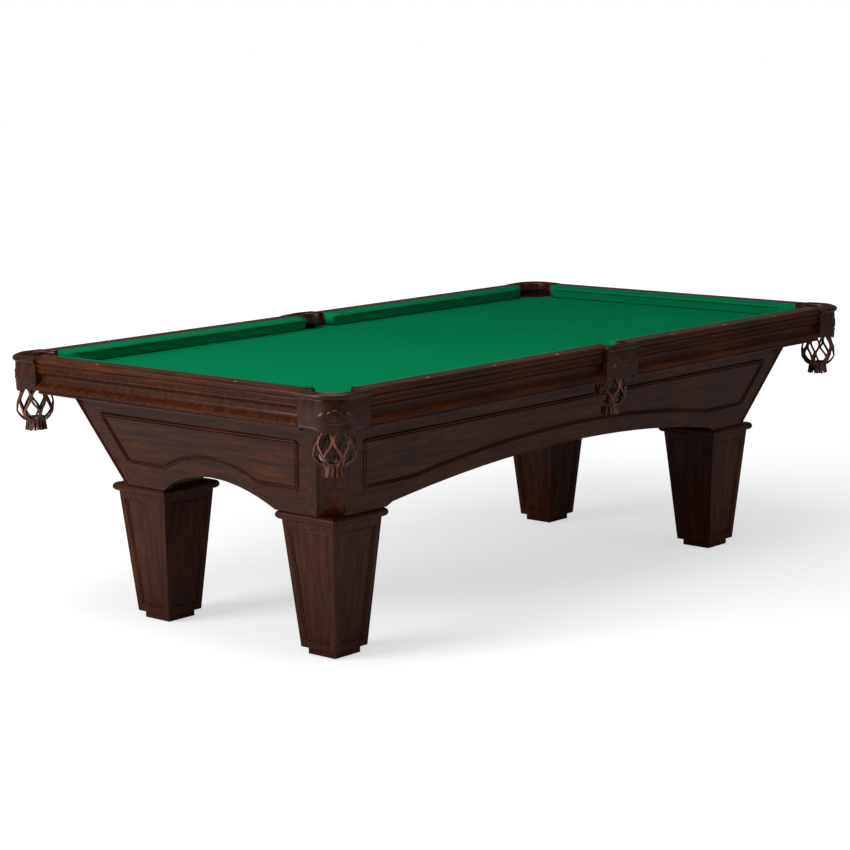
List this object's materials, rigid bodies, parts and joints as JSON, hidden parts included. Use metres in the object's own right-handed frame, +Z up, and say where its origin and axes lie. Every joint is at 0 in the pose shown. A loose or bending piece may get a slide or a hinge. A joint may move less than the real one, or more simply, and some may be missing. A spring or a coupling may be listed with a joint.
{
  "type": "pool table",
  "caption": "Eight-foot slate pool table with six drop pockets, cloth bed and cushions, arched cabinet, square tapered legs and screw levellers.",
  "frame": {"origin": "on the floor under the middle of the playing field", "axes": "+X along the table towards the plain end, +Y across it, +Z up; the end with the plate is at -X"},
  "size_m": [2.4532, 1.3436, 0.8],
  "materials": {
    "mahogany": "satin lacquer",
    "softwood": "sawn",
    "slate": "honed stone",
    "cloth": "worsted wool",
    "rubber": "moulded gum rubber",
    "leather": "polished",
    "iron": "as cast",
    "steel": "zinc plated",
    "pearl": "polished",
    "brass": "brushed"
  },
  "bodies": {
    "table": {"slate_head": "slate", "slate_middle": "slate", "slate_foot": "slate", "bed_cloth": "cloth", "slate_backing": "softwood", "sights": "pearl", "name_plate": "brass", "rail_far_right": "mahogany", "rail_far_left": "mahogany", "rail_near_left": "mahogany", "rail_near_right": "mahogany", "rail_right_end": "mahogany", "rail_left_end": "mahogany", "cushion_rubbers": "rubber", "cushion_cloth": "cloth", "feather_strips": "softwood", "rail_skirts": "mahogany", "rail_bolt_washers": "steel", "rail_bolts": "steel", "pocket_leather_far_right": "leather", "pocket_leather_far_left": "leather", "pocket_leather_near_left": "leather", "pocket_leather_near_right": "leather", "pocket_leather_far_side": "leather", "pocket_leather_near_side": "leather", "pocket_irons": "iron", "apron_far": "mahogany", "apron_near": "mahogany", "apron_right": "mahogany", "apron_left": "mahogany", "panel_beads": "mahogany", "corner_posts": "mahogany", "cross_beams": "softwood", "leg_far_right": "mahogany", "leg_far_left": "mahogany", "leg_near_left": "mahogany", "leg_near_right": "mahogany", "corner_blocks": "softwood", "leg_bolts": "steel", "leg_caps": "mahogany", "leg_plinths": "mahogany", "leveller_inserts": "brass"},
    "hanging_net_far_right": {"net_far_right": "leather"},
    "hanging_net_far_left": {"net_far_left": "leather"},
    "hanging_net_near_left": {"net_near_left": "leather"},
    "hanging_net_near_right": {"net_near_right": "leather"},
    "hanging_net_far_side": {"net_far_side": "leather"},
    "hanging_net_near_side": {"net_near_side": "leather"},
    "foot_far_right": {"leveller_pad_far_right": "steel"},
    "screw_far_right": {"leveller_stem_far_right": "steel"},
    "foot_far_left": {"leveller_pad_far_left": "steel"},
    "screw_far_left": {"leveller_stem_far_left": "steel"},
    "foot_near_left": {"leveller_pad_near_left": "steel"},
    "screw_near_left": {"leveller_stem_near_left": "steel"},
    "foot_near_right": {"leveller_pad_near_right": "steel"},
    "screw_near_right": {"leveller_stem_near_right": "steel"}
  },
  "joints": [
    {"name": "net_swing_far_right", "type": "hinge", "parent": "table", "child": "hanging_net_far_right", "pos_m": [1.16416, 0.60536, 0.722], "axis": [-0.7071, 0.7071, 0], "range_deg": [-8, 8]},
    {"name": "net_swing_far_left", "type": "hinge", "parent": "table", "child": "hanging_net_far_left", "pos_m": [-1.16416, 0.60536, 0.722], "axis": [-0.7071, -0.7071, 0], "range_deg": [-8, 8]},
    {"name": "net_swing_near_left", "type": "hinge", "parent": "table", "child": "hanging_net_near_left", "pos_m": [-1.16416, -0.60536, 0.722], "axis": [0.7071, -0.7071, 0], "range_deg": [-8, 8]},
    {"name": "net_swing_near_right", "type": "hinge", "parent": "table", "child": "hanging_net_near_right", "pos_m": [1.16416, -0.60536, 0.722], "axis": [0.7071, 0.7071, 0], "range_deg": [-8, 8]},
    {"name": "net_swing_far_side", "type": "hinge", "parent": "table", "child": "hanging_net_far_side", "pos_m": [0, 0.6228, 0.722], "axis": [1, 0, 0], "range_deg": [-8, 8]},
    {"name": "net_swing_near_side", "type": "hinge", "parent": "table", "child": "hanging_net_near_side", "pos_m": [0, -0.6228, 0.722], "axis": [1, 0, 0], "range_deg": [-8, 8]},
    {"name": "foot_height_far_right", "type": "slide", "parent": "table", "child": "foot_far_right", "axis": [0, 0, -1], "range_m": [0, 0.012]},
    {"name": "screw_turn_far_right", "type": "hinge", "parent": "foot_far_right", "child": "screw_far_right", "pos_m": [0.902, 0.338, 0.02], "axis": [0, 0, 1], "range_deg": [0, 2469]},
    {"name": "foot_height_far_left", "type": "slide", "parent": "table", "child": "foot_far_left", "axis": [0, 0, -1], "range_m": [0, 0.012]},
    {"name": "screw_turn_far_left", "type": "hinge", "parent": "foot_far_left", "child": "screw_far_left", "pos_m": [-0.902, 0.338, 0.02], "axis": [0, 0, 1], "range_deg": [0, 2469]},
    {"name": "foot_height_near_left", "type": "slide", "parent": "table", "child": "foot_near_left", "axis": [0, 0, -1], "range_m": [0, 0.012]},
    {"name": "screw_turn_near_left", "type": "hinge", "parent": "foot_near_left", "child": "screw_near_left", "pos_m": [-0.902, -0.338, 0.02], "axis": [0, 0, 1], "range_deg": [0, 2469]},
    {"name": "foot_height_near_right", "type": "slide", "parent": "table", "child": "foot_near_right", "axis": [0, 0, -1], "range_m": [0, 0.012]},
    {"name": "screw_turn_near_right", "type": "hinge", "parent": "foot_near_right", "child": "screw_near_right", "pos_m": [0.902, -0.338, 0.02], "axis": [0, 0, 1], "range_deg": [0, 2469]}
  ],
  "couplings": [
    {"joint": "screw_turn_far_right", "follows": "foot_height_far_right", "rad_per_m": 3590.4},
    {"joint": "screw_turn_far_left", "follows": "foot_height_far_left", "rad_per_m": 3590.4},
    {"joint": "screw_turn_near_left", "follows": "foot_height_near_left", "rad_per_m": 3590.4},
    {"joint": "screw_turn_near_right", "follows": "foot_height_near_right", "rad_per_m": 3590.4}
  ]
}
